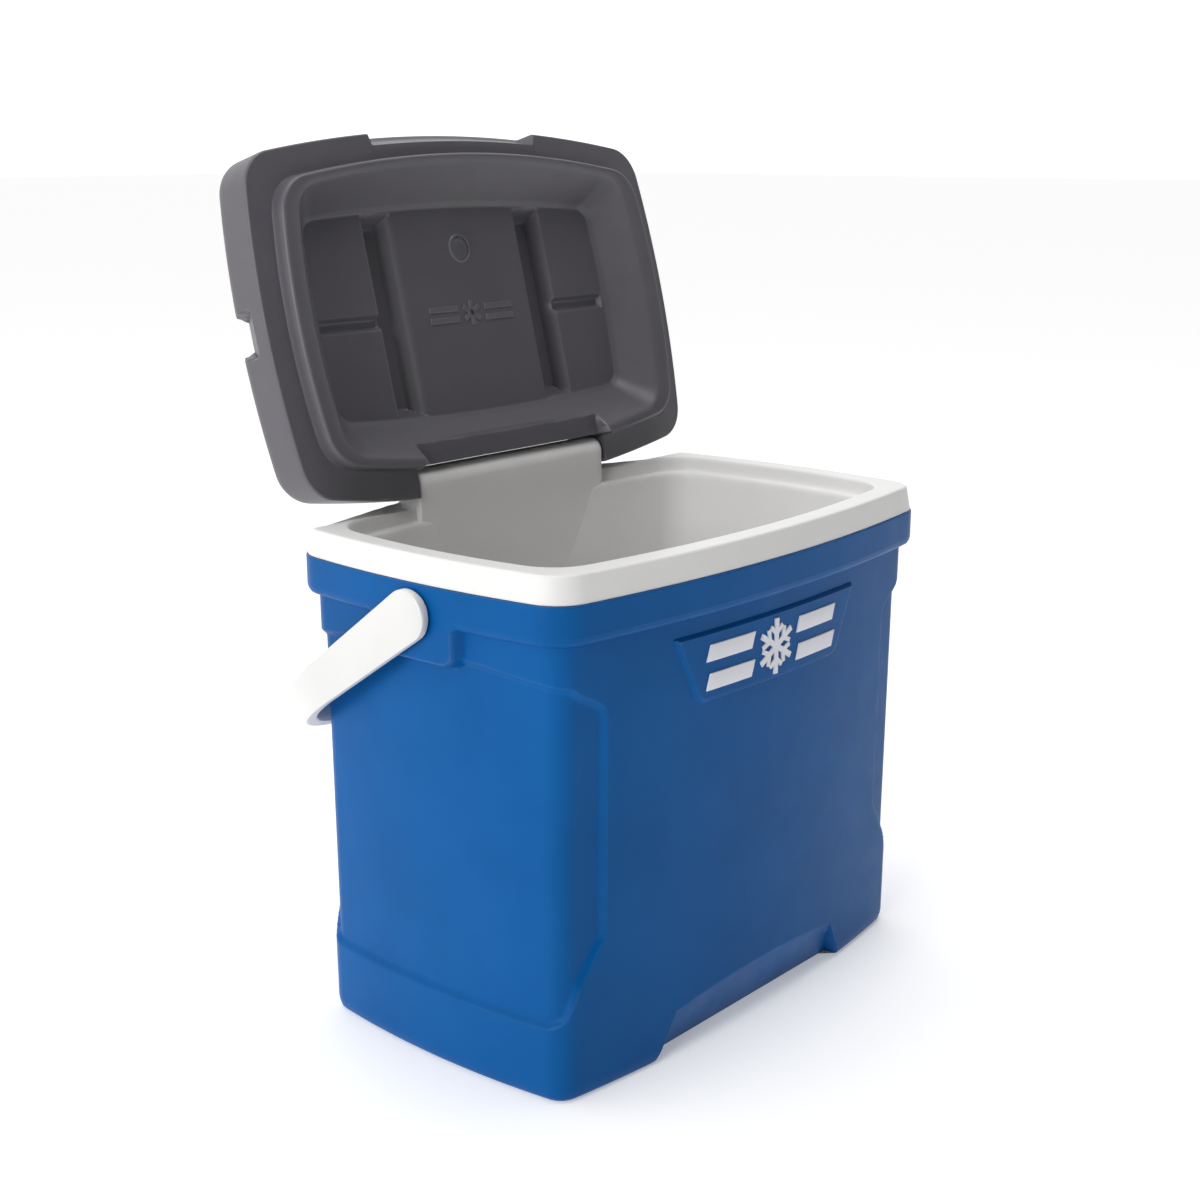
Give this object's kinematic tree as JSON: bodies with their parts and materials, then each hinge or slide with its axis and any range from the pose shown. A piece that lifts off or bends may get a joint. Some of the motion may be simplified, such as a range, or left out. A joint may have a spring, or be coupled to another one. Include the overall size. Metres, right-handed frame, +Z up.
{
  "type": "cooler chest",
  "caption": "Insulated cooler chest with a bowed tapered body, a rear-hinged double-wall lid standing open and a swinging bail handle hanging behind.",
  "frame": {"origin": "centre of the body's flat bottom, on the floor", "axes": "+X along the length, +Y towards the hinge side, +Z up; the badge side faces -Y"},
  "size_m": [0.4752, 0.3626, 0.6534],
  "materials": {
    "blue_shell": "satin moulded plastic",
    "white_liner": "satin moulded plastic",
    "white_bail": "fine matt moulded plastic",
    "badge_white": "satin moulded plastic",
    "grey_lid": "satin moulded plastic with fine grain",
    "foam": "hidden insulation foam",
    "pin_nylon": "hidden moulded pin"
  },
  "bodies": {
    "body": {"outer_shell": "blue_shell", "inner_liner": "white_liner", "body_foam": "foam", "hinge_pin_right": "pin_nylon", "hinge_pin_left": "pin_nylon", "badge_flake": "badge_white", "badge_bar_left_upper": "badge_white", "badge_bar_left_lower": "badge_white", "badge_bar_right_upper": "badge_white", "badge_bar_right_lower": "badge_white"},
    "lid": {"lid_shell": "grey_lid", "lid_foam": "foam", "lid_fill_plug": "grey_lid"},
    "bail": {"bail_handle": "white_bail"}
  },
  "joints": [
    {"name": "lid_hinge", "type": "hinge", "parent": "body", "child": "lid", "pos_m": [0, 0.1266, 0.3926], "axis": [1, 0, 0], "range_deg": [0, 104]},
    {"name": "bail_pivot", "type": "hinge", "parent": "body", "child": "bail", "pos_m": [0, -0.002, 0.337], "axis": [1, 0, 0], "range_deg": [0, 50]}
  ]
}
